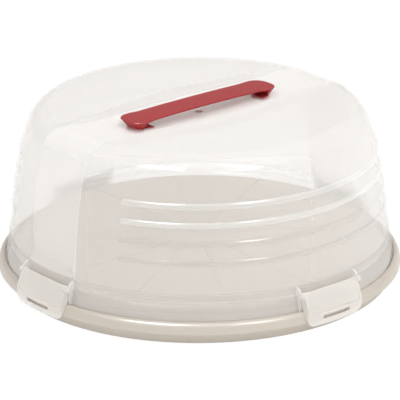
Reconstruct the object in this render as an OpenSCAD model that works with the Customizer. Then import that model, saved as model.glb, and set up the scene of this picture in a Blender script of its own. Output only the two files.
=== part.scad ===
// Round cake carrier: a low serving tray, a clear domed hood with a strap handle,
// and four hinged clips on the hood that reach down over the rim of the tray.
// Millimetres, +Z up, origin on the surface it stands on, at the centre of the tray.
// The strap runs along X, and one clip faces each of -X, +X, -Y and +Y.

/* [Tray] */
// Outer diameter over the turned-down rim
rim_d = 345; // [330:1:375]
// How far the foot ring on the table lies inside the rim
foot_inset = 8.3; // [6.5:0.1:14]
// Wall thickness of the tray
tray_t = 2.2; // [1.8:0.1:3]
// Height of the crest of the rim
crest_z = 19.6; // [17:0.2:24]
// How far the turned-down rim falls below its crest
lip_drop = 9.4; // [7:0.2:11]
// Radial width of the turned-down rim
lip_w = 5.3; // [4.5:0.1:7]
// Depth of the channel that the hood stands in, below the crest
channel_depth = 3.8; // [3:0.1:5]
// Radial width of the channel floor
channel_w = 7.3; // [5:0.1:9]
// Height of the serving surface at its centre
plate_z = 31.5; // [28:0.5:40]
// Fall of the serving surface from its centre to its edge
plate_fall = 2.4; // [1:0.2:4]
// Radius of the rounded edge of the serving surface
plate_edge_r = 4; // [2:0.5:6]
// Number of cutting guides pressed into the serving surface
guides = 12; // [8:1:16]
// Angle that the tray is turned under the hood, in degrees
guide_turn = -1.4; // [-15:0.1:15]
// Radius at which the cutting guides start
guide_r0 = 30; // [15:1:60]
// Width of a cutting guide
guide_w = 1.6; // [1:0.1:3]
// Depth of a cutting guide
guide_d = 0.6; // [0.3:0.1:1]

/* [Hood] */
// Wall thickness of the hood
hood_t = 1.8; // [1.4:0.1:2.6]
// Play between the hood's foot and the inside of the rim
seat_gap = 0.4; // [0.3:0.05:0.8]
// Height of the hood's upright skirt above the crest of the rim
skirt_h = 13.4; // [10:0.2:16]
// Height of the narrow collar above the skirt
collar_h = 8; // [5:0.5:12]
// How far the skirt leans in between the crest of the rim and its top
skirt_in = 2.8; // [1:0.1:4]
// Step in radius at the top of the skirt and of the collar
collar_step = 0.5; // [0.3:0.1:1]
// Lean of the wall at its foot, in degrees
lean_foot = 6; // [4:0.5:8]
// Lean of the wall where the shoulder starts, in degrees
lean_wall = 10; // [9:0.5:13]
// Lean of the shoulder where its tight corner starts, in degrees
lean_shoulder = 20; // [17:1:25]
// Lean of the corner at the crease that bounds the flat top, in degrees
lean_crease = 80; // [72:1:82]
// Height at which the shoulder starts
wall_z = 108; // [95:1:120]
// Height at which the tight corner starts
shoulder_z = 135; // [126:1:138]
// Height of the crease round the flat top
crease_z = 150; // [146:1:170]
// Rise of the flat top from the crease to its centre
top_rise = 1.4; // [0.5:0.1:3]
// Half width of the flat band that crosses the hood from clip to clip
band_w = 29.5; // [29:0.5:33]
// Half width of the hand trough at the middle of the top
trough_w = 40.5; // [38:0.5:46]
// Half length over which the sides of the hand trough bow out
bow_l = 88; // [75:1:100]
// Depth of the hand trough below the crease, at the middle
trough_depth = 8; // [6:0.5:12]
// Depth of the hand trough below the crease, at its ends
trough_end_depth = 2; // [1.5:0.5:4]
// Depth of the flat band at the foot of the wall, behind the collar
band_depth = 5.6; // [4:0.1:8]
// Lean of the flat band at its foot, in degrees
band_lean = 1; // [1:0.5:4]
// Lean of the flat band where the shoulder starts, in degrees
band_lean_wall = 10.5; // [8:0.5:14]
// Lean of the flat band where it turns into the trough, in degrees
band_lean_top = 86; // [80:1:88]

/* [Hood ribs] */
// Number of raised ribs on each side of the hood
ribs = 4; // [2:1:5]
// Height of the lowest rib
rib_z = 66.5; // [58:0.5:72]
// Distance between ribs
rib_pitch = 15.4; // [12:0.2:15.6]
// Height of a rib's face
rib_w = 4.6; // [3:0.2:6]
// How far a rib stands out of the wall
rib_h = 0.9; // [0.5:0.1:1.5]
// Angle that a rib covers on each side of the middle of its face, in degrees
rib_sweep = 63.5; // [40:0.5:65]

/* [Clips] */
// Width of a clip
clip_w = 59; // [54:1:62]
// Thickness of a clip
clip_t = 2.1; // [1.8:0.1:2.6]
// Radius of the hinge barrel along the top of a clip
barrel_r = 2; // [1.8:0.1:2.4]
// Gap between the hinge barrel and the hood's collar
barrel_gap = 0.9; // [0.8:0.1:1.4]
// Height of the hinge axis above the crest of the rim
hinge_rise = 13.4; // [12.8:0.1:16]
// Radius of the hinge pins
pin_r = 1.2; // [1:0.1:1.4]
// Running clearance round a hinge pin
pin_gap = 0.08; // [0.04:0.01:0.1]
// Gap between a clip's side and the ear beside it
side_gap = 0.4; // [0.3:0.1:1]
// Gap between the inside of a closed clip and the edge of the rim
clip_gap = 0.4; // [0.3:0.1:0.8]
// How far a closed clip reaches below the edge of the rim
clip_reach = 3.6; // [2.5:0.1:4.5]
// Radius of a clip's lower corners
clip_corner = 8; // [4:0.5:10]
// Thickness of the flange along each side of a clip
flange_t = 1.8; // [1.4:0.1:2.4]
// Depth of the sunk panel in the face of a clip
panel_d = 0.5; // [0.3:0.1:0.7]
// Width of the raised border round that panel
panel_edge = 3; // [2:0.5:5]
// Length of the slot in a clip
slot_l = 29; // [20:1:36]
// Height of the slot in a clip
slot_h = 3.4; // [2.5:0.1:4]
// Height of the slot's centre above the lower end of the clip
slot_rise = 7; // [6.5:0.1:10]
// Height of the ears above the hinge axis
ear_rise = 7; // [5:0.5:9]
// Thickness of the ears that carry a clip
ear_t = 2; // [1.6:0.1:3]

/* [Handle] */
// Length of the strap handle over its rounded ends
strap_l = 157; // [146:1:168]
// Width of the strap between its feet
strap_w = 26; // [22:0.5:30]
// Width of the strap at its feet
strap_end_w = 29; // [28:0.5:34]
// Thickness of the strap
strap_t = 3; // [2.4:0.1:4]
// Height of the strap's underside above the trough, at the middle
hand_room = 8; // [7:0.2:14]
// Fall of the strap from its middle to its ends
strap_fall = 4; // [3:0.2:4.6]
// Length of each foot along the strap
strap_foot_l = 20; // [16:0.5:24]
// Length over which the strap flares into a foot
strap_flare = 6; // [4:0.5:10]
// How far the end of a foot draws in from its top to its base
foot_in = 4; // [1:0.5:5]
// Width across the peg that holds each foot
peg_w = 14; // [10:0.5:18]
// Length of that peg along the strap
peg_l = 7; // [5:0.5:10]
// Play round the peg in its slot
peg_gap = 0.2; // [0.1:0.05:0.4]
// Length of the hook under the hood at each peg's outer side
peg_hook = 1.4; // [1:0.1:2]

/* [Hidden] */
$fn = 128;
eps = 0.05;
rim_r = rim_d / 2;
foot_r = rim_r - foot_inset;
crest_r = rim_r - lip_w;
crest_top = 1.0;
lip_z = crest_z - lip_drop;
lip_edge = 1.8;
channel_z = crest_z - channel_depth;
seat_r = crest_r - crest_top * 0.6;
channel_r = seat_r - 0.2;
plate_wall_r = channel_r - channel_w;
plate_wall_run = 2.4;
plate_r = plate_wall_r - plate_wall_run;
plate_edge_z = plate_z - plate_fall;

skirt_r = seat_r - seat_gap;
skirt_z = crest_z + skirt_h;
collar_r = skirt_r - skirt_in - collar_step;
collar_z = skirt_z + collar_h;
wall_r = collar_r - collar_step - collar_h * 0.04;

hinge_z = crest_z + hinge_rise;
hinge_r = collar_r + barrel_r + barrel_gap;
ear_in = clip_w / 2 + side_gap;
ear_out = ear_in + ear_t;
ear_z = crest_z + 0.5;
ear_reach = pin_r + pin_gap + 1.3;
clip_z = lip_z - clip_reach;
slot_z = clip_z + slot_rise;

// Points of an arc that leans from angle a to angle b while it climbs from z0 to z1
function lean_arc(r0, z0, z1, a, b, n, g = 0) =
    let (k = (z1 - z0) / (sin(b) - sin(a)))
    [for (i = [0 : n])
        let (t = a + (b - a) * i / n)
        [r0 - k * (cos(a) - cos(t)) - g * cos(t), z0 + k * (sin(t) - sin(a)) - g * sin(t)]];
// Radius at the upper end of such an arc
function lean_end(r0, z0, z1, a, b) =
    r0 - (z1 - z0) / (sin(b) - sin(a)) * (cos(a) - cos(b));
// Radius and lean at height z of such an arc
function lean_at(r0, z0, z1, a, b, z) =
    let (k = (z1 - z0) / (sin(b) - sin(a)), t = asin(sin(a) + (z - z0) / k))
    [r0 - k * (cos(a) - cos(t)), t];
// Height of the flat top at radius r, where the top ends at radius rc
function top_at(r, rc) = crease_z + top_rise * (1 - pow(r / rc, 2));

shoulder_r0 = lean_end(wall_r, collar_z, wall_z, lean_foot, lean_wall);
corner_r0 = lean_end(shoulder_r0, wall_z, shoulder_z, lean_wall, lean_shoulder);
function wall_at(z) = z < wall_z
    ? lean_at(wall_r, collar_z, wall_z, lean_foot, lean_wall, z)
    : lean_at(shoulder_r0, wall_z, shoulder_z, lean_wall, lean_shoulder, z);
crease_r = lean_end(corner_r0, shoulder_z, crease_z, lean_shoulder, lean_crease);

// Wall, shoulder, corner and flat top, moved inward by g
function dome(g) = concat(
    lean_arc(wall_r, collar_z, wall_z, lean_foot, lean_wall, 6, g),
    lean_arc(shoulder_r0, wall_z, shoulder_z, lean_wall, lean_shoulder, 6, g),
    lean_arc(corner_r0, shoulder_z, crease_z, lean_shoulder, lean_crease, 12, g),
    [for (i = [1 : 6]) let (r = crease_r * (1 - i / 6)) [r, top_at(r, crease_r) - g]]
);

// The flat band: up the wall, round the shoulder and along the floor of the trough
band_x0 = wall_r - band_depth;
band_z0 = collar_z;
band_x1 = lean_end(band_x0, band_z0, wall_z, band_lean, band_lean_wall);
band_x2 = lean_end(band_x1, wall_z, shoulder_z - 2, band_lean_wall, lean_shoulder - 1);
band_end_z = crease_z - trough_end_depth;
band_x3 = lean_end(band_x2, shoulder_z - 2, band_end_z, lean_shoulder - 1, band_lean_top);
trough_z = crease_z - trough_depth;
function trough_at(x) = trough_z + (trough_depth - trough_end_depth) * pow(x / band_x3, 2);
function band_side(g) = concat(
    [[band_x0 - g, 0]],
    lean_arc(band_x0, band_z0, wall_z, band_lean, band_lean_wall, 4, g),
    lean_arc(band_x1, wall_z, shoulder_z - 2, band_lean_wall, lean_shoulder - 1, 5, g),
    lean_arc(band_x2, shoulder_z - 2, band_end_z, lean_shoulder - 1, band_lean_top, 10, g),
    [for (i = [1 : 5]) let (x = band_x3 * (1 - i / 5)) [x, trough_at(x) - g]]
);
function mirror_x(p) = [for (i = [len(p) - 2 : -1 : 0]) [-p[i][0], p[i][1]]];
function band(g) = concat(band_side(g), mirror_x(band_side(g)));
bow_r = (pow(bow_l, 2) + pow(trough_w - band_w, 2)) / (2 * (trough_w - band_w));

strap_top = trough_z + hand_room + strap_t;
strap_half = strap_l / 2 - strap_foot_l;
bend_r = (pow(strap_l / 2, 2) + pow(strap_fall, 2)) / (2 * strap_fall);
pad_z = trough_at(strap_l / 2) + 0.6;
pad_x = strap_l / 2 - strap_foot_l / 2;

// Half section of the tray: foot, rim, channel, serving surface and the hollow below it
module tray_section() {
    top = [for (i = [0 : 8])
        let (r = (plate_r - plate_edge_r) * i / 8)
        [r, plate_z - plate_fall * pow(i / 8, 2)]];
    edge = [for (i = [1 : 5])
        let (a = 90 - 75 * i / 5)
        [plate_r - plate_edge_r + plate_edge_r * cos(a), plate_edge_z - plate_edge_r + plate_edge_r * sin(a)]];
    under_edge = [for (i = [5 : -1 : 0])
        let (a = 90 - 75 * i / 5, q = plate_edge_r - tray_t * 0.8)
        [plate_r - plate_edge_r + q * cos(a), plate_edge_z - plate_edge_r + q * sin(a) - tray_t * 0.2]];
    under = [for (i = [7 : -1 : 0])
        let (r = (plate_r - plate_edge_r) * i / 8)
        [r, plate_z - plate_fall * pow(i / 8, 2) - tray_t]];
    polygon(concat(
        top,
        edge,
        [[plate_wall_r, channel_z],
         [channel_r, channel_z],
         [seat_r, channel_z + 0.3],
         [seat_r, crest_z - 0.6],
         [seat_r + 0.6, crest_z],
         [crest_r + crest_top, crest_z],
         [rim_r - 0.5, lip_z + 2.4],
         [rim_r, lip_z + 1.6],
         [rim_r, lip_z],
         [rim_r - lip_edge, lip_z],
         [rim_r - lip_edge - 0.3, lip_z + 1.4],
         [seat_r + tray_t * 0.7, crest_z - tray_t - 1],
         [foot_r, 0],
         [foot_r - tray_t, 0],
         [seat_r - tray_t * 0.9, channel_z - tray_t],
         [plate_wall_r - tray_t * 0.8, channel_z - tray_t]],
        under_edge,
        under
    ));
}

module serving_tray() {
    color([0.80, 0.75, 0.70])
    difference() {
        rotate_extrude() tray_section();
        for (i = [0 : guides - 1])
            rotate([0, 0, i * 360 / guides + guide_turn])
                guide_cut();
    }
}

// One radial cutting guide, pressed along the slope of the serving surface
module guide_cut() {
    guide_l = plate_r - plate_edge_r - guide_r0;
    fall_a = plate_z - plate_fall * pow(guide_r0 / (plate_r - plate_edge_r), 2);
    mid_r = guide_r0 + guide_l / 2;
    fall_b = plate_z - plate_fall * pow(mid_r / (plate_r - plate_edge_r), 2);
    rotate([90, 0, 0])
        translate([0, 0, -guide_w / 2])
            linear_extrude(guide_w)
                polygon([
                    [guide_r0, fall_a - guide_d],
                    [mid_r, fall_b - guide_d],
                    [plate_r - plate_edge_r, plate_edge_z - guide_d],
                    [plate_r - plate_edge_r, plate_z + 1],
                    [guide_r0, plate_z + 1]]);
}

// Space outside the flat band, moved inward by g
module band_cut(g) {
    intersection() {
        rotate([90, 0, 0])
            translate([0, 0, -trough_w * 1.5])
                linear_extrude(trough_w * 3)
                    difference() {
                        translate([-rim_r, collar_z - g])
                            square([2 * rim_r, crease_z]);
                        polygon(band(g));
                    }
        union() {
            translate([-rim_r, -band_w - g, 0])
                cube([2 * rim_r, 2 * (band_w + g), 2 * crease_z]);
            intersection() {
                translate([0, trough_w + g - bow_r, 0])
                    cylinder(r = bow_r, h = 2 * crease_z, $fn = 360);
                translate([0, bow_r - trough_w - g, 0])
                    cylinder(r = bow_r, h = 2 * crease_z, $fn = 360);
            }
        }
    }
}

module hood_outside() {
    difference() {
        rotate_extrude()
            polygon(concat(
                [[0, channel_z],
                 [skirt_r, channel_z],
                 [skirt_r, crest_z],
                 [skirt_r - skirt_in, skirt_z],
                 [collar_r, skirt_z],
                 [collar_r - collar_h * 0.04, collar_z]],
                dome(0)));
        band_cut(0);
    }
}

module hood_inside() {
    difference() {
        rotate_extrude()
            polygon(concat(
                [[0, channel_z - 1],
                 [skirt_r - hood_t, channel_z - 1],
                 [skirt_r - hood_t, crest_z],
                 [skirt_r - hood_t - skirt_in, skirt_z - hood_t],
                 [collar_r - hood_t, skirt_z - hood_t]],
                dome(hood_t)));
        band_cut(hood_t);
    }
}

// One raised rib round the middle of the face towards -Y
module rib(z) {
    r = wall_at(z)[0];
    dr = rib_w / 2 * tan(wall_at(z)[1]);
    foot_w = rib_w * 0.7;
    face_w = rib_w * 0.3;
    rotate([0, 0, -90 - rib_sweep])
        rotate_extrude(angle = 2 * rib_sweep)
            polygon([
                [r + dr * 1.4 - hood_t / 2, z - foot_w],
                [r + dr * 0.6 + rib_h, z - face_w],
                [r - dr * 0.6 + rib_h, z + face_w],
                [r - dr * 1.4 - hood_t / 2, z + foot_w]]);
    // rounded ends
    for (s = [-1, 1])
        rotate([0, 0, -90 + s * rib_sweep])
            translate([r - hood_t / 2, 0, z])
                rotate([0, 90, 0])
                    cylinder(r1 = foot_w + 0.3, r2 = face_w + 0.1, h = hood_t / 2 + rib_h * 0.8);
}

// One ear at the side of a clip, with the bore for the hinge pin
module ear(s) {
    in_r = band_x0 - hood_t / 2;
    edge_r = hinge_r - pin_r;
    top_z = hinge_z + ear_rise;
    translate([0, s > 0 ? -ear_in : ear_out, 0])
        rotate([90, 0, 0])
            linear_extrude(ear_t)
                difference() {
                    union() {
                        polygon(concat(
                            [[in_r, ear_z], [edge_r, ear_z], [edge_r, hinge_z]],
                            [for (i = [0 : 6])
                                let (a = 15 * i)
                                [in_r + (edge_r - in_r) * cos(a), hinge_z + ear_reach + (top_z - hinge_z - ear_reach) * sin(a)]]));
                        translate([hinge_r, hinge_z])
                            circle(r = ear_reach);
                    }
                    translate([hinge_r, hinge_z])
                        circle(r = pin_r + pin_gap);
                }
}

module ears() {
    for (a = [0, 90, 180, 270])
        rotate([0, 0, a])
            for (s = [-1, 1])
                ear(s);
}

module hood() {
    color([0.93, 0.93, 0.92, 0.5])
    difference() {
        union() {
            hood_outside();
            for (m = [0, 1])
                mirror([0, m, 0])
                    for (i = [0 : ribs - 1])
                        rib(rib_z + i * rib_pitch);
            ears();
            strap_pads();
        }
        hood_inside();
        strap_slots();
    }
}

// Flat pads on the trough floor that the handle's feet stand on
module strap_pads() {
    for (s = [-1, 1])
        translate([s * pad_x, 0, 0])
            translate([0, 0, trough_z - hood_t / 2])
                linear_extrude(pad_z - trough_z + hood_t / 2)
                    intersection() {
                        square([strap_foot_l, strap_end_w], center = true);
                        translate([s * (strap_foot_l / 2 - strap_end_w * 0.62), 0])
                            circle(r = strap_end_w * 0.62 - foot_in);
                    }
}

// Slots in the trough floor for the handle's pegs
module strap_slots() {
    for (s = [-1, 1])
        translate([s * pad_x - peg_l / 2 - peg_gap, -peg_w / 2 - peg_gap, trough_z - 3 * hood_t])
            cube([peg_l + 2 * peg_gap, peg_w + 2 * peg_gap, 6 * hood_t]);
}

// Outline of one foot of the strap: rounded at its outer end, drawn in towards its base
module foot_outline(s) {
    round_r = strap_end_w * 0.62;
    foot_h = strap_top - strap_fall - strap_t / 2 - pad_z;
    intersection() {
        translate([-strap_foot_l / 2, -strap_end_w / 2, 0])
            cube([strap_foot_l, strap_end_w, strap_top - pad_z + 1]);
        translate([s * (strap_foot_l / 2 - round_r), 0, 0])
            union() {
                cylinder(r1 = round_r - foot_in, r2 = round_r, h = foot_h, $fn = 180);
                translate([0, 0, foot_h])
                    cylinder(r = round_r, h = strap_top, $fn = 180);
            }
    }
}

module strap_handle() {
    color([0.72, 0.20, 0.20]) {
        intersection() {
            union() {
                // arched strap
                rotate([90, 0, 0])
                    translate([0, strap_top - bend_r, -strap_end_w / 2])
                        difference() {
                            cylinder(r = bend_r, h = strap_end_w, $fn = 360);
                            translate([0, 0, -1])
                                cylinder(r = bend_r - strap_t, h = strap_end_w + 2, $fn = 360);
                        }
                // feet
                for (s = [-1, 1])
                    translate([s > 0 ? strap_half : -strap_l / 2, -strap_end_w / 2, pad_z])
                        cube([strap_foot_l, strap_end_w, strap_top - strap_fall - pad_z - strap_t / 2]);
            }
            strap_outline();
        }
        for (s = [-1, 1])
            mirror([s < 0 ? 1 : 0, 0, 0])
                peg();
    }
}

// Outline of the strap: parallel sides that flare into wider feet
module strap_outline() {
    near = strap_half - strap_flare;
    far = strap_half + strap_flare / 2;
    side = strap_w / 2;
    flared = strap_end_w / 2;
    translate([0, 0, pad_z])
        linear_extrude(strap_top - pad_z + 1)
            polygon([
                [-far, -flared], [-near, -side], [near, -side], [far, -flared],
                [far, flared], [near, side], [-near, side], [-far, flared]]);
    for (s = [-1, 1])
        translate([s * pad_x, 0, pad_z])
            foot_outline(s);
}

// Peg under one foot, with the hook that holds it below the hood
module peg() {
    under_z = trough_at(pad_x + peg_l / 2 + peg_hook) - hood_t;
    low_z = min(under_z, trough_at(pad_x) - hood_t) - 0.3;
    rotate([90, 0, 0])
        translate([0, 0, -peg_w / 2])
            linear_extrude(peg_w)
                polygon([
                    [pad_x - peg_l / 2, pad_z + 1],
                    [pad_x - peg_l / 2, low_z - 3],
                    [pad_x + peg_l / 2 - 1, low_z - 3],
                    [pad_x + peg_l / 2 + peg_hook, low_z - 0.8],
                    [pad_x + peg_l / 2 + peg_hook, low_z],
                    [pad_x + peg_l / 2, low_z],
                    [pad_x + peg_l / 2, pad_z + 1]]);
}

// Half section of a closed clip's plate, in radius and height. The plate is curved with the rim.
module clip_section() {
    in_r = rim_r + clip_gap;
    bulge_z = crest_z - 1;
    knee_z = (crest_z + hinge_z) / 2;
    knee_r = (in_r + hinge_r) / 2 + 1;
    polygon([
        [hinge_r + 0.4, hinge_z + barrel_r * 0.9],
        [hinge_r + barrel_r + 0.3, hinge_z + barrel_r * 0.9],
        [knee_r + clip_t * 0.8, knee_z + 2.5],
        [in_r + clip_t - 0.5, crest_z + 3],
        [in_r + clip_t + 0.3, bulge_z],
        [in_r + clip_t + 0.2, crest_z - 5],
        [in_r + clip_t - 0.4, lip_z],
        [in_r + clip_t - 1.1, clip_z + 0.8],
        [in_r + 0.5, clip_z],
        [in_r, clip_z + 0.4],
        [in_r, lip_z - 1.2],
        [in_r + 0.4, lip_z],
        [in_r + 0.2, bulge_z],
        [in_r - 0.6, crest_z + 2.2],
        [knee_r - clip_t * 0.3, knee_z + 0.6],
        [hinge_r - 0.2, hinge_z - barrel_r * 0.9],
        [hinge_r - 0.4, hinge_z]]);
}

// Side flange of a closed clip, in distance and height. It clears the rim along its inner edge.
module flange_section() {
    side = clip_w / 2 - flange_t;
    in_r = rim_r + clip_gap;
    bulge_z = crest_z - 1;
    knee_z = (crest_z + hinge_z) / 2;
    knee_r = (in_r + hinge_r) / 2 + 1;
    back = in_r - sqrt(in_r * in_r - clip_w * clip_w / 4);
    polygon([
        [hinge_r + barrel_r * 0.4, hinge_z],
        [knee_r + clip_t * 0.3 - back, knee_z + 1.4],
        [in_r + clip_t * 0.4 - back, crest_z + 2.4],
        [in_r + clip_t * 0.6 - back, bulge_z],
        [in_r + clip_t * 0.5 - back, lip_z + 2],
        [clear_x(rim_r, side), lip_z + 2],
        [clear_x(rim_r - 0.5, side), lip_z + 2.4],
        [clear_x(crest_r + crest_top, side), crest_z + clip_gap],
        [hinge_r - barrel_r * 0.6, crest_z + 4],
        [hinge_r - barrel_r * 0.8, hinge_z]]);
}
// Distance at which a flange's inner face clears a circle of radius r
function clear_x(r, side) = sqrt(pow(r + clip_gap, 2) - side * side);

// A clip facing +X before it is turned to its place
module clip_body() {
    difference() {
        union() {
            intersection() {
                union() {
                    rotate_extrude($fn = 360)
                        clip_section();
                    for (s = [-1, 1])
                        translate([0, s > 0 ? clip_w / 2 : flange_t - clip_w / 2, 0])
                            rotate([90, 0, 0])
                                linear_extrude(flange_t)
                                    flange_section();
                }
                clip_face();
            }
            translate([hinge_r, -clip_w / 2, hinge_z])
                rotate([-90, 0, 0])
                    cylinder(r = barrel_r, h = clip_w, $fn = 48);
            for (s = [-1, 1])
                translate([hinge_r, s > 0 ? clip_w / 2 - 1 : -ear_out + 0.2, hinge_z])
                    rotate([-90, 0, 0])
                        cylinder(r = pin_r, h = ear_out - clip_w / 2 + 0.8, $fn = 48);
        }
        translate([rim_r - 10, -slot_l / 2, slot_z - slot_h / 2])
            cube([30, slot_l, slot_h]);
        clip_panel();
    }
}

// Shallow panel sunk in a clip's outer face, inside its raised border
module clip_panel() {
    panel_r = rim_r + clip_gap + clip_t + 0.3 - panel_d;
    low_z = slot_z + slot_h / 2 + panel_edge;
    high_z = crest_z + 5;
    intersection() {
        rotate_extrude($fn = 360)
            polygon([
                [panel_r - 1.2, high_z],
                [panel_r, crest_z - 1],
                [panel_r - 0.1, low_z],
                [panel_r + 4, low_z - 0.5],
                [panel_r + 4, high_z + 0.5]]);
        translate([rim_r - 30, panel_edge - clip_w / 2, low_z - 1])
            cube([60, clip_w - 2 * panel_edge, high_z - low_z + 2]);
    }
}

// Front outline of a clip, with its rounded lower corners
module clip_face() {
    translate([rim_r - 30, 0, 0])
        rotate([90, 0, 90])
            linear_extrude(60)
                union() {
                    translate([-clip_w / 2, clip_z + clip_corner])
                        square([clip_w, hinge_z + 10]);
                    translate([-clip_w / 2 + clip_corner, clip_z - 1])
                        square([clip_w - 2 * clip_corner, clip_corner + 2]);
                    for (s = [-1, 1])
                        translate([s * (clip_w / 2 - clip_corner), clip_z + clip_corner])
                            circle(r = clip_corner);
                }
}

module clip_at(a) {
    color([0.95, 0.94, 0.93])
    rotate([0, 0, a])
        clip_body();
}

module clip_left() { clip_at(180); }
module clip_right() { clip_at(0); }
module clip_front() { clip_at(270); }
module clip_back() { clip_at(90); }

serving_tray();
hood();
strap_handle();
clip_left();
clip_right();
clip_front();
clip_back();
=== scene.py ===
"""Studio picture of a round cake carrier: tray, clear hood, strap handle and four hinged clips."""

import logging
import math
from dataclasses import dataclass
from enum import Enum

import bpy
import numpy as np
from mathutils import Matrix, Vector


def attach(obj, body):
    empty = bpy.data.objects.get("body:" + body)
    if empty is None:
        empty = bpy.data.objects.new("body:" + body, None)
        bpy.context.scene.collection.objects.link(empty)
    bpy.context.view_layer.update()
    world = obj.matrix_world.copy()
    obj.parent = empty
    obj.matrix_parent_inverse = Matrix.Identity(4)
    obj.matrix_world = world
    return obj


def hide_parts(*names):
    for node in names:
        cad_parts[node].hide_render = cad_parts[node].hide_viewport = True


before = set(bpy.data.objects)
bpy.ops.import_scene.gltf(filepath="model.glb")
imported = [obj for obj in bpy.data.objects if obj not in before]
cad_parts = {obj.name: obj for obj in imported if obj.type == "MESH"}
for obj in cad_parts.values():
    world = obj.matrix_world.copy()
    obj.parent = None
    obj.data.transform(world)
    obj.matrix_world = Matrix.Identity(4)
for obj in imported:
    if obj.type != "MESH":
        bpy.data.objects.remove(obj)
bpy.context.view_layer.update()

log = logging.getLogger("cake_carrier")

MM = 0.001
STEPS_PER_MM = 1000
IMAGE_PX = 400
SENSOR_MM = 36.0
WHITE = (1, 1, 1, 1)


class Where(Enum):
    """The body of the frame that a piece moves with."""

    TRAY = "tray"
    HOOD = "hood"
    CLIP_LEFT = "clip_left"
    CLIP_RIGHT = "clip_right"
    CLIP_FRONT = "clip_front"
    CLIP_BACK = "clip_back"


def linear(hex_colour: str, alpha: float = 1.0) -> tuple[float, float, float, float]:
    """Turn an sRGB hex colour into linear red, green, blue and alpha.

    Args:
        hex_colour: Six hex digits with a leading hash.
        alpha: The fourth value, carried over as it is.

    Returns:
        Four linear values from 0 to 1.
    """
    value = [int(hex_colour[i:i + 2], 16) / 255 for i in (1, 3, 5)]
    r, g, b = [v / 12.92 if v <= 0.04045 else ((v + 0.055) / 1.055) ** 2.4 for v in value]
    return (r, g, b, alpha)


def add_node(tree: bpy.types.NodeTree, kind: str, links: dict | None = None, **settings) -> bpy.types.Node:
    """Add a node with its settings, its socket values and its incoming links.

    Args:
        tree: The node tree that gets the node.
        kind: The node's Blender type.
        links: Input socket name or index to either an output socket or a plain value.
        settings: Attributes of the node itself.

    Returns:
        The new node.
    """
    node = tree.nodes.new(kind)
    for name, value in settings.items():
        setattr(node, name, value)
    for name, source in (links or {}).items():
        socket = node.inputs[name]
        if isinstance(source, bpy.types.NodeSocket):
            tree.links.new(source, socket)
        else:
            socket.default_value = source
    return node


@dataclass(frozen=True)
class MouldedPlastic:
    """Polypropylene as it comes out of a polished mould: smooth, faintly wavy, with fine satin grain."""

    name: str
    colour: str
    colour_deep: str
    roughness: float
    roughness_spread: float
    ior: float = 1.49
    alpha: float = 1.0
    alpha_edge: float = 1.0
    flow_mm: float = 60.0
    grain_mm: float = 0.9
    grain_depth_mm: float = 0.01
    edge_blend: float = 0.35

    def build(self) -> bpy.types.Material:
        """Make the material: flow marks in the colour, satin grain in the bump, both in object space.

        Returns:
            The finished material.
        """
        mat = bpy.data.materials.new(self.name)
        mat.use_nodes = True
        tree = mat.node_tree
        tree.nodes.clear()
        place = add_node(tree, "ShaderNodeTexCoord").outputs["Object"]
        # slow flow marks from the mould's filling, tens of millimetres long
        flow = add_node(tree, "ShaderNodeTexNoise",
                        {"Vector": place, "Scale": 1 / (self.flow_mm * MM), "Detail": 3.0, "Roughness": 0.55})
        # inputs 0, 6 and 7 of a colour mix are its factor and its two colours, output 2 is the mixed colour
        colour = add_node(tree, "ShaderNodeMix",
                          {0: flow.outputs["Fac"], 6: linear(self.colour), 7: linear(self.colour_deep)},
                          data_type="RGBA")
        rough = add_node(tree, "ShaderNodeMapRange",
                         {"Value": flow.outputs["Fac"], "To Min": self.roughness - self.roughness_spread,
                          "To Max": self.roughness + self.roughness_spread})
        skin = add_node(tree, "ShaderNodeBsdfPrincipled",
                        {"Base Color": colour.outputs[2], "Roughness": rough.outputs["Result"], "IOR": self.ior,
                         "Alpha": self.alpha})
        if self.grain_depth_mm > 0:
            # satin grain of the mould's polish, drawn a little coarser than life so that it shows
            grain = add_node(tree, "ShaderNodeTexNoise",
                             {"Vector": place, "Scale": 1 / (self.grain_mm * MM), "Detail": 2.0})
            bump = add_node(tree, "ShaderNodeBump",
                            {"Height": grain.outputs["Fac"], "Distance": self.grain_depth_mm * MM, "Strength": 0.5})
            tree.links.new(bump.outputs["Normal"], skin.inputs["Normal"])
        if self.alpha < 1 and self.alpha_edge > self.alpha:
            facing = add_node(tree, "ShaderNodeLayerWeight", {"Blend": self.edge_blend})
            edge = add_node(tree, "ShaderNodeMapRange",
                            {"Value": facing.outputs["Facing"], "To Min": self.alpha, "To Max": self.alpha_edge})
            tree.links.new(edge.outputs["Result"], skin.inputs["Alpha"])
        add_node(tree, "ShaderNodeOutputMaterial", {"Surface": skin.outputs["BSDF"]})
        mat.diffuse_color = linear(self.colour, self.alpha)
        return mat


_MADE: dict[str, bpy.types.Material] = {}


def shared(finish: MouldedPlastic) -> bpy.types.Material:
    """The material of a finish, made once and used by every piece that has it."""
    if finish.name not in _MADE:
        _MADE[finish.name] = finish.build()
    return _MADE[finish.name]


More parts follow.
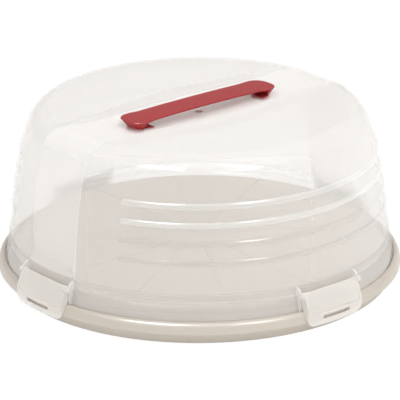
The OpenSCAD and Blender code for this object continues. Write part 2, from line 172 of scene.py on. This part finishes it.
TRAY_FINISH = MouldedPlastic("tray_polypropylene_satin", "#c6bdb2", "#c1b8ad", 0.34, 0.04)
HOOD_FINISH = MouldedPlastic("hood_polypropylene_clear", "#f9f6f3", "#f6f3ef", 0.12, 0.02,
                             alpha=0.25, alpha_edge=0.44, grain_depth_mm=0.0)
BAND_FINISH = MouldedPlastic("hood_polypropylene_frosted", "#fcf9f6", "#f9f6f3", 0.32, 0.03,
                             alpha=0.33, alpha_edge=0.6, grain_depth_mm=0.0)
# painted highlight: ribs are whiter and more opaque than the clear wall, partly for their thicker plastic and partly
# as painted highlight; the two lower ribs get a fainter finish with less painted highlight
RIB_AND_PAINTED_LIGHT_FINISH = MouldedPlastic("hood_polypropylene_rib_and_painted_light", "#fdfcfa", "#faf9f6", 0.18, 0.02,
                            alpha=0.32, alpha_edge=0.6, grain_depth_mm=0.0)
LOW_RIB_LESS_PAINTED_LIGHT_FINISH = MouldedPlastic("hood_polypropylene_low_rib_less_painted_light", "#f6f3f0", "#f3f0ed", 0.18, 0.02,
                                alpha=0.2, alpha_edge=0.5, grain_depth_mm=0.0)
# painted light: the gate mark is a light grey mark, drawn lighter still to make up for the strap's shadow on it
GATE_LIGHTENED_FINISH = MouldedPlastic("hood_polypropylene_gate_lightened_against_shadow", "#f3f1ee", "#efedea", 0.45, 0.03)
CLIP_FINISH = MouldedPlastic("clip_polypropylene_milky", "#f1ede8", "#eeeae4", 0.22, 0.03,
                             alpha=0.5, alpha_edge=0.85)
HANDLE_FINISH = MouldedPlastic("handle_polypropylene_red", "#a81f22", "#a21c1f", 0.38, 0.04)


class Zone(Enum):
    """How a patch of the hood looks: clear wall, frosted band, raised rib drawn whiter with painted highlight (the
    same finish is painted light on the trough's lip and the band's steps), or one of the lower ribs with fainter
    painted highlight.
    """

    CLEAR = 0
    FROSTED = 1
    RIB_AND_PAINTED_LIGHT = 2
    LOW_RIB_LESS_PAINTED_LIGHT = 3


def merge(scaled: np.ndarray) -> tuple[np.ndarray, np.ndarray]:
    """Find which points are the same point.

    Args:
        scaled: (n, 3) points in thousandths of a millimetre, which is the smallest distance that counts.

    Returns:
        The place in the list of the first of each distinct point, and the distinct point's number of every point.
    """
    _, first, number = np.unique(np.round(scaled).astype(np.int64), axis=0, return_index=True, return_inverse=True)
    return first, number.ravel()


def has_area(tris: np.ndarray) -> np.ndarray:
    """Which triangles have three different points."""
    return (tris[:, 0] != tris[:, 1]) & (tris[:, 1] != tris[:, 2]) & (tris[:, 2] != tris[:, 0])


def welded(source: bpy.types.Mesh) -> tuple[np.ndarray, np.ndarray]:
    """Merge the coincident points of a mesh.

    Args:
        source: The mesh, which stays as it is.

    Returns:
        Points as (n, 3) metres and triangles as (m, 3) point numbers.
    """
    source.calc_loop_triangles()
    points = np.empty(len(source.vertices) * 3, dtype=np.float32)
    source.vertices.foreach_get("co", points)
    corners = np.empty(len(source.loop_triangles) * 3, dtype=np.int32)
    source.loop_triangles.foreach_get("vertices", corners)
    points = points.reshape(-1, 3)
    first, number = merge(points / (MM / STEPS_PER_MM))
    tris = number[corners].reshape(-1, 3)
    return points[first], tris[has_area(tris)]


def piece_from(name: str, points: np.ndarray, tris: np.ndarray, finishes: tuple[MouldedPlastic, ...],
               slots: np.ndarray | None = None, sharp_deg: float = 35.0) -> bpy.types.Object:
    """Make a smooth-shaded object from points and triangles.

    Args:
        name: The object's name.
        points: (n, 3) points in metres.
        tris: (m, 3) point numbers.
        finishes: The finishes of its slots, in order.
        slots: The slot of each triangle, or None for the first slot throughout.
        sharp_deg: Edges that turn by more than this stay sharp.

    Returns:
        The object, linked into the scene.
    """
    mesh = bpy.data.meshes.new(name)
    mesh.vertices.add(len(points))
    mesh.vertices.foreach_set("co", np.ascontiguousarray(points, dtype=np.float32).ravel())
    mesh.loops.add(tris.size)
    mesh.loops.foreach_set("vertex_index", np.ascontiguousarray(tris, dtype=np.int32).ravel())
    mesh.polygons.add(len(tris))
    mesh.polygons.foreach_set("loop_start", np.arange(0, tris.size, 3, dtype=np.int32))
    for finish in finishes:
        mesh.materials.append(shared(finish))
    if slots is not None:
        mesh.polygons.foreach_set("material_index", slots.astype(np.int32))
    mesh.update(calc_edges=True)
    mesh.validate()
    mesh.shade_smooth()
    mesh.set_sharp_from_angle(angle=math.radians(sharp_deg))
    obj = bpy.data.objects.new(name, mesh)
    bpy.context.scene.collection.objects.link(obj)
    return obj


@dataclass
class Skin:
    """A node of the frame shown as one smooth skin in its finish."""

    node: str
    body: Where
    slot: str
    finish: MouldedPlastic

    def build(self) -> bpy.types.Object:
        """Copy the node's surface, weld it, smooth it, dress it and let it stand in for the node.

        Returns:
            The skin.
        """
        points, tris = welded(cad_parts[self.node].data)
        skin = piece_from(f"{self.node}_skin", points, tris, (self.finish,))
        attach(skin, self.body.value)
        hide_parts(self.node)
        log.info("%s: %d points, %d triangles", skin.name, len(points), len(tris))
        return skin


def lean_arc(start: tuple[float, float], lean_a: float, lean_b: float, z_b: float, count: int) -> np.ndarray:
    """Points of an arc that climbs from a start to height z_b while its lean grows from lean_a to lean_b.

    With k = (z_b - z0) / (sin b - sin a): r = r0 - k (cos a - cos t) and z = z0 + k (sin t - sin a).

    Args:
        start: Radius and height of the lower end, in millimetres.
        lean_a: Lean from the upright at the lower end, in degrees.
        lean_b: Lean at the upper end, in degrees.
        z_b: Height of the upper end.
        count: Number of points, ends included.

    Returns:
        (count, 2) radii and heights.
    """
    t = np.radians(np.linspace(lean_a, lean_b, count))
    k = (z_b - start[1]) / (np.sin(t[-1]) - np.sin(t[0]))
    r = start[0] - k * (np.cos(t[0]) - np.cos(t))
    z = start[1] + k * (np.sin(t) - np.sin(t[0]))
    return np.stack([r, z], axis=1)


def sheet(grid: np.ndarray, zone: np.ndarray | Zone, flip: bool = False) -> tuple[np.ndarray, np.ndarray]:
    """Cut a grid of points into triangles.

    Args:
        grid: (rows, columns, 3) points.
        zone: The zone of every cell, or one zone for all.
        flip: Turn the triangles over.

    Returns:
        (triangles, 3, 3) corner points and the slot of each triangle.
    """
    a, b, c, d = grid[:-1, :-1], grid[:-1, 1:], grid[1:, 1:], grid[1:, :-1]
    tris = np.stack([np.stack([a, b, c], axis=2), np.stack([a, c, d], axis=2)], axis=2).reshape(-1, 3, 3)
    cells = np.full(grid.shape[:2], zone.value)[:-1, :-1] if isinstance(zone, Zone) else zone
    return (tris[:, ::-1] if flip else tris), np.repeat(cells.ravel(), 2)


def weld(corners_of: np.ndarray, slots: np.ndarray) -> tuple[np.ndarray, np.ndarray, np.ndarray]:
    """Join triangles at their common points, and drop those that have no area.

    Args:
        corners_of: (m, 3, 3) corner points.
        slots: The slot of each triangle.

    Returns:
        Points, triangles as point numbers, and the slots of the triangles kept.
    """
    flat = corners_of.reshape(-1, 3)
    first, number = merge(flat * STEPS_PER_MM)
    tris = number.reshape(-1, 3)
    kept = has_area(tris)
    return flat[first], tris[kept], slots[kept]


@dataclass
class Tray:
    """The serving tray: a domed plate with pressed cutting guides, a channel for the hood and a rolled rim.

    All sizes are millimetres.
    """

    finish: MouldedPlastic
    plate_z: float = 31.5
    plate_fall: float = 2.4
    plate_r: float = 152.7
    guides: int = 12
    guide_turn: float = -1.4
    guide_start: float = 30.0
    guide_half: float = 0.8
    guide_depth: float = 0.6
    rim: tuple[tuple[float, float], ...] = (
        (153.9, 28.9), (155.0, 28.4), (155.9, 27.6), (156.5, 26.5), (156.8, 25.2), (159.0, 16.3), (159.6, 15.8),
        (166.0, 15.8), (166.5, 16.2), (166.6, 17.0), (166.6, 18.8), (166.9, 19.4), (167.5, 19.6), (168.2, 19.6),
        (169.2, 19.2), (170.2, 18.3), (171.1, 16.9), (171.8, 15.2), (172.3, 13.2), (172.5, 11.6), (172.5, 10.5),
        (172.2, 10.2), (170.9, 10.2), (170.5, 11.4), (168.4, 15.9), (164.2, 0.3), (163.9, 0.0), (162.2, 0.0),
        (162.0, 0.3), (164.5, 13.3), (164.0, 13.6), (157.5, 13.6), (154.6, 24.6), (152.9, 26.6), (152.7, 26.9))
    under: tuple[tuple[float, float], ...] = ((120.0, 27.8), (60.0, 29.0), (0.0, 29.3))

    def columns(self, r: np.ndarray) -> tuple[np.ndarray, np.ndarray]:
        """Angles of the columns at each radius, closer together beside every guide.

        Args:
            r: (m, 1) radii.

        Returns:
            (m, n) angles in radians and the depth share of each column, 1 in a guide and 0 beside it.
        """
        half = np.pi / self.guides
        beside = np.array([[0.0, 0.5, 0.8, 1.1, 1.8]]) * (self.guide_half / 0.8)
        near = beside * np.minimum(1, 0.6 * half * np.maximum(r, 0.01) / 1.8) / np.maximum(r, 0.01)
        far = near[:, -1:] + (half - near[:, -1:]) * np.array([[0.25, 0.5, 0.75]])
        right = np.concatenate([near, far], axis=1)
        sector = np.concatenate([np.full((len(r), 1), -half), -right[:, :0:-1], right], axis=1)
        turn = math.radians(self.guide_turn) + 2 * half * np.arange(self.guides)
        angles = (turn[None, :, None] + sector[:, None, :]).reshape(len(r), -1)
        share = np.array([1.0, 1.0, 0.5, 0.0, 0.0, 0.0, 0.0, 0.0])
        sunk = np.tile(np.concatenate([[0.0], share[:0:-1], share]), self.guides)
        return np.concatenate([angles, angles[:, :1] + 2 * np.pi], axis=1), np.concatenate([sunk, sunk[:1]])

    def build(self) -> bpy.types.Object:
        """Turn the section round the axis, press the guides into the plate and dress the tray.

        Returns:
            The tray.
        """
        start = self.guide_start
        plate_r = np.concatenate([[0, 8, 16, 23, start - 1.2, start + 1.2],
                                  np.linspace(start + 8, self.plate_r - 1.5, 12), [self.plate_r]])
        plate = np.stack([plate_r, self.plate_z - self.plate_fall * (plate_r / self.plate_r) ** 2], axis=1)
        section = np.concatenate([plate, np.array(self.rim), np.array(self.under)])
        r, z = section[:, :1], section[:, 1:]
        angles, sunk = self.columns(r)
        pressed = ((r > start) & (r < self.plate_r) & (np.arange(len(r))[:, None] < len(plate))).astype(float)
        depth = self.guide_depth * pressed * sunk[None]
        grid = np.stack([r * np.cos(angles), r * np.sin(angles), z - depth], axis=2)
        points, tris, _ = weld(*sheet(grid, Zone.CLEAR, flip=True))
        tray = piece_from("serving_tray_skin", points * MM, tris, (self.finish,), sharp_deg=48.0)
        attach(tray, Where.TRAY.value)
        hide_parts("serving_tray")
        log.info("serving_tray_skin: %d points, %d triangles", len(points), len(tris))
        return tray


@dataclass
class Hood:
    """The clear hood, one sheet of plastic: stepped foot, ribbed wall, frosted band, trough and creased top.

    All sizes are millimetres. The sheet is drawn as its outer face and then given its thickness inward.
    """

    finish: MouldedPlastic
    band_finish: MouldedPlastic
    rib_and_painted_light_finish: MouldedPlastic
    low_rib_less_painted_light_finish: MouldedPlastic
    thick: float = 1.8
    foot: tuple[tuple[float, float], ...] = (
        (166.2, 15.8), (166.2, 19.4), (165.95, 20.6), (163.5, 32.4), (163.3, 33.0), (162.9, 33.2), (162.65, 40.6),
        (162.45, 41.0), (162.08, 41.15))
    wall_z: float = 108.0
    shoulder_z: float = 135.0
    crease_z: float = 150.0
    top_rise: float = 1.4
    leans: tuple[float, ...] = (6.0, 10.0, 20.0, 80.0)
    band_half: float = 29.5
    band_foot_r: float = 156.4
    band_leans: tuple[float, ...] = (1.0, 10.5, 16.0, 88.0)
    trough_half: float = 40.5
    bow_half: float = 88.0
    trough_z: float = 142.0
    trough_end_z: float = 148.2
    ribs: tuple[float, ...] = (66.5, 81.9, 97.3, 112.7)
    rib_half: float = 2.3
    rib_height: float = 0.9
    rib_sweep: float = 63.5
    first_column: float = 15.0
    strip_columns: int = 9
    edge_gap: float = 0.02
    gate_r: float = 3.5
    gate_height: float = 0.3

    def profile(self) -> tuple[np.ndarray, np.ndarray]:
        """Radii and heights of the plain hood from foot to crease, and of the band at the same rows.

        Returns:
            (m, 2) hood profile and (m, 2) band profile; below the wall both are the foot.
        """
        foot = np.array(self.foot)
        a, b, c, d = self.leans
        low = lean_arc(tuple(foot[-1]), a, b, self.wall_z, 60)
        high = lean_arc(tuple(low[-1]), b, c, self.shoulder_z, 30)
        corner = lean_arc(tuple(high[-1]), c, d, self.crease_z, 15)
        wall = np.concatenate([low, high[1:]])
        steps = np.array([-2.7, -2.2, -1.6, -0.9, 0.0, 0.9, 1.6, 2.2, 2.7])
        z = np.unique(np.concatenate([np.linspace(foot[-1][1], self.shoulder_z, 22)[1:],
                                      (np.array(self.ribs)[:, None] + steps).ravel()]).round(3))
        plain = np.concatenate([foot, np.stack([np.interp(z, wall[:, 1], wall[:, 0]), z], axis=1), corner[1:]])
        a, b, c, d = self.band_leans
        low = lean_arc((self.band_foot_r, foot[-1][1]), a, b, self.wall_z, 60)
        high = lean_arc(tuple(low[-1]), b, c, self.shoulder_z, 30)
        turn = lean_arc(tuple(high[-1]), c, d, self.trough_end_z, 14)
        wall = np.concatenate([low, high[1:]])
        crease_r = corner[-1, 0]
        last = math.sqrt(crease_r ** 2 - self.band_half ** 2)
        band = np.concatenate([foot, np.stack([np.interp(z, wall[:, 1], wall[:, 0]), z], axis=1), turn[1:],
                               [[last, self.trough_end_z + self.edge_gap]]])
        # the band never stands out of the wall at its own edge
        edge = np.sqrt(plain[:, 0] ** 2 - self.band_half ** 2) - 0.15
        keep = slice(len(foot), len(foot) + len(z))
        band[keep, 0] = np.minimum(band[keep, 0], edge[keep])
        return plain, band

    def half_width(self, x: np.ndarray) -> np.ndarray:
        """Half width of band and trough at distance x from the middle.

        The trough's sides are arcs: trough_half - (r - sqrt(r^2 - x^2)) with r = (bow_half^2 + d^2) / 2d and
        d = trough_half - band_half, and never less than band_half.

        Args:
            x: Distances along the handle.

        Returns:
            Half widths.
        """
        d = self.trough_half - self.band_half
        r = (self.bow_half ** 2 + d ** 2) / (2 * d)
        return np.maximum(self.trough_half - (r - np.sqrt(np.maximum(r * r - x * x, 0))), self.band_half)

    def top(self, x: np.ndarray, y: np.ndarray, crease_r: float) -> np.ndarray:
        """Height of the top: crease_z + top_rise (1 - (r / crease_r)^2)."""
        return self.crease_z + self.top_rise * (1 - (x * x + y * y) / crease_r ** 2)

    def sheets(self) -> list[tuple[np.ndarray, np.ndarray]]:
        """Every patch of the outer face, as triangles with their slots.

        Returns:
            The patches; neighbours share their edge points exactly.
        """
        plain, band = self.profile()
        foot_n = len(self.foot)
        r, z = plain[:, :1], plain[:, 1:]
        # columns: evenly from the band's edge to the first fixed one, then by the degree, closer at the rib ends
        rib_end = 90 - self.rib_sweep
        close = np.arange(-1.5, 1.6, 0.25)
        fixed = np.concatenate([np.arange(self.first_column, 180.1 - self.first_column, 1.0),
                                rib_end + close, 180 - rib_end + close])
        fixed = np.unique(fixed.round(3))
        start = np.degrees(np.arcsin(self.band_half / r))
        lead = start + (self.first_column - start) * np.array([[0.0, 0.25, 0.5, 0.75]])
        angle = np.concatenate([lead, np.repeat(fixed[None], len(r), axis=0), 180 - lead[:, ::-1]], axis=1)
        # ribs: a rounded ridge along each rib line with round ends; d is the distance from that line
        run = np.maximum(np.abs(angle - 90) - self.rib_sweep, 0) * np.radians(1) * r
        d = np.sqrt((z - np.array(self.ribs)[:, None, None]) ** 2 + run ** 2).min(axis=0) / self.rib_half
        lift = self.rib_height * np.clip(1 - d ** 4, 0, 1)
        # painted highlight: the two upper ribs are drawn whiter than the two lower ones
        rib_painted_light_zone = np.where(z < (self.ribs[1] + self.ribs[2]) / 2, Zone.LOW_RIB_LESS_PAINTED_LIGHT.value, Zone.RIB_AND_PAINTED_LIGHT.value)
        zone = np.where(lift > 0.05 * self.rib_height, rib_painted_light_zone, Zone.CLEAR.value)
        # a cell is part of a rib as soon as one of its corners is
        zone = np.maximum(np.maximum(zone[:-1, :-1], zone[1:, 1:]), np.maximum(zone[:-1, 1:], zone[1:, :-1]))
        turn = np.radians(angle)
        side = np.stack([(r + lift) * np.cos(turn), (r + lift) * np.sin(turn), np.broadcast_to(z, angle.shape)],
                        axis=2)
        crease_r = float(plain[-1, 0])
        columns = self.strip_columns
        v = np.linspace(-1, 1, columns)
        made = []
        # the foot's part under the band
        ring_r, ring_z = plain[:foot_n, :1], plain[:foot_n, 1:]
        y = np.broadcast_to(v * self.band_half, (foot_n, columns))
        ring = np.stack([np.sqrt(ring_r ** 2 - y ** 2), y, np.broadcast_to(ring_z, y.shape)], axis=2)
        # band from the foot to the top's crease line
        rise = band[foot_n - 1:]
        y = np.broadcast_to(v * self.band_half, (len(rise), columns))
        strip = np.stack([np.broadcast_to(rise[:, :1], y.shape), y, np.broadcast_to(rise[:, 1:], y.shape)], axis=2)
        strip[0] = ring[-1]
        # trough floor, in the columns of the top
        x = side[-1, :, 0]
        half = self.half_width(x)
        floor_z = self.trough_z + (self.trough_end_z + self.edge_gap - self.trough_z) * (x / x[0]) ** 2
        y = half[:, None] * v[None]
        floor = np.stack([np.broadcast_to(x[:, None], y.shape), y, np.broadcast_to(floor_z[:, None], y.shape)],
                         axis=2)
        floor[0], floor[-1] = strip[-1], strip[-1] * np.array([-1, 1, 1])
        made.append(sheet(floor, Zone.FROSTED))
        # the two halves of the top beside the trough
        f = np.linspace(0, 1, 16)[:, None]
        y = half + f * (side[-1, :, 1] - half)
        cap = np.stack([np.broadcast_to(x, y.shape), y, self.top(x, y, crease_r)], axis=2)
        cap[-1] = side[-1]
        edge_x = side[foot_n - 1:, 0]
        for sy in (1.0, -1.0):
            over = np.array([1.0, sy, 1.0])
            made.append(sheet(side * over, zone, flip=sy < 0))
            made.append(sheet(cap * over, Zone.CLEAR, flip=sy > 0))
            # painted light: the trough's lip and the band's steps take the whiter rib finish, so they show lighter
            # than the shade seen through the clear wall there
            lip = np.stack([floor[:, -1], cap[0]], axis=0)
            made.append(sheet(lip * over, Zone.RIB_AND_PAINTED_LIGHT, flip=sy > 0))
            for sx in (1.0, -1.0):
                both = over * np.array([sx, 1.0, 1.0])
                step = np.stack([strip[:, -1], edge_x], axis=0)
                made.append(sheet(step * both, Zone.RIB_AND_PAINTED_LIGHT, flip=sx * sy < 0))
        for sx in (1.0, -1.0):
            over = np.array([sx, 1.0, 1.0])
            made.append(sheet(ring * over, Zone.CLEAR, flip=sx < 0))
            made.append(sheet(strip * over, Zone.FROSTED, flip=sx < 0))
        return made

    def sharpen(self, mesh: bpy.types.Mesh) -> None:
        """Mark the crease round the top as a sharp edge, so that corner and top are shaded apart.

        Args:
            mesh: The hood's outer face.
        """
        r_crease = float(self.profile()[0][-1, 0])
        co = np.empty(len(mesh.vertices) * 3, dtype=np.float32)
        mesh.vertices.foreach_get("co", co)
        x, y, z = co.reshape(-1, 3).T / MM
        on = (np.abs(np.hypot(x, y) - r_crease) < self.edge_gap) & (np.abs(z - self.crease_z) < self.edge_gap)
        ends = np.empty(len(mesh.edges) * 2, dtype=np.int32)
        mesh.edges.foreach_get("vertices", ends)
        sharp = np.empty(len(mesh.edges), dtype=bool)
        mesh.edges.foreach_get("use_edge_sharp", sharp)
        sharp |= on[ends.reshape(-1, 2)].all(axis=1)
        mesh.edges.foreach_set("use_edge_sharp", sharp)

    def ears(self) -> bpy.types.Object:
        """The eight ears that carry the clips' pins, taken from the hood's solid by where they stand.

        Returns:
            The ears.
        """
        points, tris = welded(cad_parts["hood"].data)
        p = np.abs(points / MM)
        kept = np.zeros(len(tris), dtype=bool)
        # an ear is 2 mm thick about 30.9 mm to either side of its clip's middle, outside the wall
        for radial, across in ((0, 1), (1, 0)):
            inside = (np.abs(p[:, across] - 30.9) < 1.06) & (p[:, radial] > 150) & (p[:, 2] > 19.9) & (p[:, 2] < 40.8)
            kept |= inside[tris].all(axis=1)
        return piece_from("hood_ears", points, tris[kept], (self.rib_and_painted_light_finish,))

    def gate_mark(self) -> bpy.types.Object:
        """The small round mark in the middle of the trough where the mould was filled.

        Returns:
            A low dome 7 mm across, just above the trough's floor.
        """
        r = np.linspace(0, self.gate_r, 5)[:, None]
        t = np.linspace(0, 2 * math.pi, 33)[None]
        z = self.trough_z + 0.05 + self.gate_height * np.sqrt(np.maximum(1 - (r / self.gate_r) ** 2, 0))
        grid = np.stack([r * np.cos(t), r * np.sin(t), np.broadcast_to(z, (5, 33))], axis=2)
        points, tris, _ = weld(*sheet(grid, Zone.CLEAR))
        # its colour is lightened as painted light against the strap's shadow
        return piece_from("hood_gate_mark", points * MM, tris, (GATE_LIGHTENED_FINISH,))

    def build(self) -> None:
        """Join the patches, give the sheet its thickness, and add ears and gate mark."""
        made = self.sheets()
        points, tris, slots = weld(np.concatenate([m[0] for m in made]), np.concatenate([m[1] for m in made]))
        finishes = (self.finish, self.band_finish, self.rib_and_painted_light_finish, self.low_rib_less_painted_light_finish)
        shell = piece_from("hood_shell", points * MM, tris, finishes, slots)
        self.sharpen(shell.data)
        wall = shell.modifiers.new("wall", "SOLIDIFY")
        wall.thickness, wall.offset = self.thick * MM, -1.0
        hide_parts("hood")
        for piece in (shell, self.ears(), self.gate_mark()):
            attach(piece, Where.HOOD.value)
        log.info("hood_shell: %d points, %d triangles", len(points), len(tris))


@dataclass
class Strap:
    """The carrying strap: a flat arch that flares into two feet, whose ends draw in towards their base.

    All sizes are millimetres.
    """

    finish: MouldedPlastic
    length: float = 157.0
    top_z: float = 152.2
    fall: float = 1.3
    thick: float = 1.6
    base_z: float = 145.0
    foot_start: float = 66.5
    draw_in: float = 4.0
    draft: float = 3.0
    edge: float = 0.45
    crown: float = 0.15
    side_draft: float = 0.25
    foot_step: float = 0.15
    peg_top_z: float = 145.05
    plan: tuple[tuple[float, float], ...] = (
        (0.0, 12.5), (56.0, 12.8), (60.0, 13.4), (64.0, 14.3), (67.0, 14.5), (70.0, 14.3), (73.0, 13.2),
        (75.5, 11.3), (77.5, 8.6), (78.3, 6.2))

    def build(self) -> None:
        """Sweep the strap's section along its length and add the pegs below the feet."""
        half = self.length / 2
        x = np.concatenate([np.linspace(0, 54, 14), np.linspace(56, self.foot_start - self.foot_step, 8),
                            np.linspace(self.foot_start + self.foot_step, half - 0.2, 14)])
        x = np.concatenate([-x[:0:-1], x])
        across = np.interp(np.abs(x), *np.array(self.plan).T)
        top = self.top_z - self.fall * (x / half) ** 2
        foot = np.abs(x) > self.foot_start
        share = np.clip((np.abs(x) - self.foot_start) / (half - self.foot_start), 0, 1)
        base = np.where(foot, self.base_z, top - self.thick)
        low_x = x - np.sign(x) * share * self.draw_in
        low_w = across - np.where(foot, self.draft, self.side_draft)
        e = self.edge
        crown = top + self.crown
        ring = [(x, across, top - e), (x, across - e, top), (x, across * 0.5, crown), (x, -across * 0.5, crown),
                (x, e - across, top), (x, -across, top - e), (low_x, -low_w, base + e), (low_x, e - low_w, base),
                (low_x, low_w - e, base), (low_x, low_w, base + e)]
        grid = np.stack([np.stack(p, axis=1) for p in ring + ring[:1]], axis=1)
        # both ends are closed by a fan about the middle of the end section
        middle = grid[[0, -1]].mean(axis=1, keepdims=True)
        row = grid[:1].shape
        grid = np.concatenate([np.broadcast_to(middle[:1], row), grid, np.broadcast_to(middle[1:], row)])
        points, tris, _ = weld(*sheet(grid, Zone.CLEAR))
        strap = piece_from("strap_handle_skin", points * MM, tris, (self.finish,), sharp_deg=40.0)
        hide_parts("strap_handle")
        points, tris = welded(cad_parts["strap_handle"].data)
        low = (points[:, 2] < self.peg_top_z * MM)[tris].all(axis=1)
        pegs = piece_from("strap_pegs", points, tris[low], (self.finish,))
        for piece in (strap, pegs):
            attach(piece, Where.HOOD.value)
        log.info("strap_handle_skin: %d triangles", len(strap.data.polygons))


@dataclass
class Studio:
    """White floor and sky, one broad lamp, two small ones for highlights, and the camera at the photograph's place."""

    distance: float = 2.36161
    elevation: float = 0.357342
    azimuth: float = -0.6965042
    roll: float = -0.004354
    look_z: float = 0.0621527
    focal_px: float = 2762.2145
    centre_px: float = 199.2076
    floor_half: float = 6.0
    floor_back: float = 0.30
    shadow: float = 0.08
    ambient: float = 0.82
    mirrored: float = 0.5
    over_watts: float = 36.0
    white_level: float = 1.04

    def seen(self, tree: bpy.types.NodeTree, *kinds: str) -> bpy.types.NodeSocket:
        """Tell the rays of some kinds from all others.

        Args:
            tree: The node tree that gets the nodes.
            kinds: Outputs of the light path node, two or more.

        Returns:
            A socket that is 1 for a ray of one of the kinds.
        """
        paths = add_node(tree, "ShaderNodeLightPath")
        seen = paths.outputs[kinds[0]]
        for kind in kinds[1:]:
            seen = add_node(tree, "ShaderNodeMath", {0: seen, 1: paths.outputs[kind]}, operation="MAXIMUM").outputs[0]
        return seen

    def camera(self) -> bpy.types.Object:
        """Place the camera from its distance, elevation, azimuth and roll about the point it looks at.

        Returns:
            The camera, also set as the scene's camera.
        """
        a, e = self.azimuth, self.elevation
        back = np.array([math.sin(a) * math.cos(e), -math.cos(a) * math.cos(e), math.sin(e)])
        flat = np.array([math.cos(a), math.sin(a), 0.0])
        rise = np.cross(flat, -back)
        right = flat * math.cos(self.roll) + rise * math.sin(self.roll)
        up = -flat * math.sin(self.roll) + rise * math.cos(self.roll)
        place = np.array([0, 0, self.look_z]) + back * self.distance
        data = bpy.data.cameras.new("studio_camera")
        data.sensor_fit = "HORIZONTAL"
        data.sensor_width = SENSOR_MM
        data.lens = self.focal_px / IMAGE_PX * SENSOR_MM
        data.shift_x = (IMAGE_PX / 2 - self.centre_px) / IMAGE_PX
        data.clip_end = 50.0
        cam = bpy.data.objects.new("studio_camera", data)
        cam.matrix_world = Matrix([[right[0], up[0], back[0], place[0]],
                                   [right[1], up[1], back[1], place[1]],
                                   [right[2], up[2], back[2], place[2]],
                                   [0, 0, 0, 1]])
        bpy.context.scene.collection.objects.link(cam)
        bpy.context.scene.camera = cam
        return cam

    def floor(self) -> bpy.types.Object:
        """Lay a plain pale floor under the object, white where the camera sees it.

        Returns:
            The floor.
        """
        mesh = bpy.data.meshes.new("floor")
        h = self.floor_half
        mesh.from_pydata([(-h, -h, 0), (h, -h, 0), (h, h, 0), (-h, h, 0)], [], [(0, 1, 2, 3)])
        floor = bpy.data.objects.new("floor", mesh)
        bpy.context.scene.collection.objects.link(floor)
        mat = bpy.data.materials.new("floor_paint_white")
        mat.use_nodes = True
        tree = mat.node_tree
        tree.nodes.clear()
        seen = self.seen(tree, "Is Camera Ray", "Is Transmission Ray", "Is Glossy Ray")
        lit = add_node(tree, "ShaderNodeBsdfDiffuse", {"Color": linear("#f0f0ee")})
        back = add_node(tree, "ShaderNodeEmission", {"Color": WHITE, "Strength": self.floor_back})
        plain = add_node(tree, "ShaderNodeAddShader", {0: lit.outputs[0], 1: back.outputs[0]})
        matt = add_node(tree, "ShaderNodeBsdfDiffuse", {"Color": (self.shadow, self.shadow, self.shadow, 1)})
        glow = add_node(tree, "ShaderNodeEmission", {"Color": WHITE, "Strength": self.white_level - self.shadow})
        white = add_node(tree, "ShaderNodeAddShader", {0: matt.outputs[0], 1: glow.outputs[0]})
        both = add_node(tree, "ShaderNodeMixShader", {0: seen, 1: plain.outputs[0], 2: white.outputs[0]})
        add_node(tree, "ShaderNodeOutputMaterial", {"Surface": both.outputs[0]})
        mesh.materials.append(mat)
        return floor

    def world(self) -> None:
        """Light everything evenly from all round, and show plain white behind the object."""
        world = bpy.data.worlds.new("studio_world")
        bpy.context.scene.world = world
        world.use_nodes = True
        tree = world.node_tree
        tree.nodes.clear()
        seen = self.seen(tree, "Is Camera Ray", "Is Transmission Ray")
        level = add_node(tree, "ShaderNodeMapRange", {"Value": seen, "To Min": self.ambient, "To Max": 1.0})
        glossy = add_node(tree, "ShaderNodeLightPath").outputs["Is Glossy Ray"]
        level = add_node(tree, "ShaderNodeMix", {"Factor": glossy, "A": level.outputs[0], "B": self.mirrored},
                         data_type="FLOAT")
        sky = add_node(tree, "ShaderNodeBackground", {"Color": WHITE, "Strength": level.outputs[0]})
        add_node(tree, "ShaderNodeOutputWorld", {"Surface": sky.outputs[0]})

    def lamp(self, name: str, place: tuple[float, float, float], size: tuple[float, float], watts: float,
             sheen_only: bool = False) -> bpy.types.Object:
        """Hang a soft lamp that faces the object.

        Args:
            name: The lamp's name.
            place: Where it hangs, in metres.
            size: Its width and height, in metres.
            watts: Its power.
            sheen_only: Whether it shows in reflections alone.

        Returns:
            The lamp.
        """
        data = bpy.data.lights.new(name, "AREA")
        data.shape = "RECTANGLE"
        data.size, data.size_y = size
        data.energy = watts
        lamp = bpy.data.objects.new(name, data)
        lamp.location = place
        aim = Vector((0, 0, 0.06)) - Vector(place)
        lamp.rotation_euler = aim.to_track_quat("-Z", "Y").to_euler()
        lamp.visible_diffuse = not sheen_only
        bpy.context.scene.collection.objects.link(lamp)
        return lamp

    def build(self) -> None:
        """Set up the camera, the floor, the world and the lamps."""
        bpy.context.scene.view_settings.view_transform = "Standard"
        self.camera()
        self.floor()
        self.world()
        self.lamp("lamp_over", (0.0, -1.1, 2.6), (2.4, 2.4), self.over_watts)
        self.lamp("lamp_high_left", (-1.31, -0.43, 2.03), (0.8, 0.3), 110.0, sheen_only=True)
        self.lamp("lamp_high_front", (-0.09, -1.75, 1.75), (0.5, 0.25), 40.0, sheen_only=True)


@dataclass
class Carrier:
    """The whole cake carrier, piece by piece."""

    def build(self) -> None:
        """Build the tray, the hood, the handle and the four clips."""
        Tray(TRAY_FINISH).build()
        Hood(HOOD_FINISH, BAND_FINISH, RIB_AND_PAINTED_LIGHT_FINISH, LOW_RIB_LESS_PAINTED_LIGHT_FINISH).build()
        Strap(HANDLE_FINISH).build()
        for side in (Where.CLIP_LEFT, Where.CLIP_RIGHT, Where.CLIP_FRONT, Where.CLIP_BACK):
            Skin(side.value, side, "clip_plastic", CLIP_FINISH).build()


def corners(box: tuple) -> list[list[float]]:
    """A box's two corners as plain lists of numbers."""
    return [[float(v) for v in corner] for corner in box]


def main() -> None:
    """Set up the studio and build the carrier."""
    logging.basicConfig(level=logging.INFO, format="%(name)s: %(message)s")
    Studio().build()
    Carrier().build()


if __name__ == "__main__":
    main()
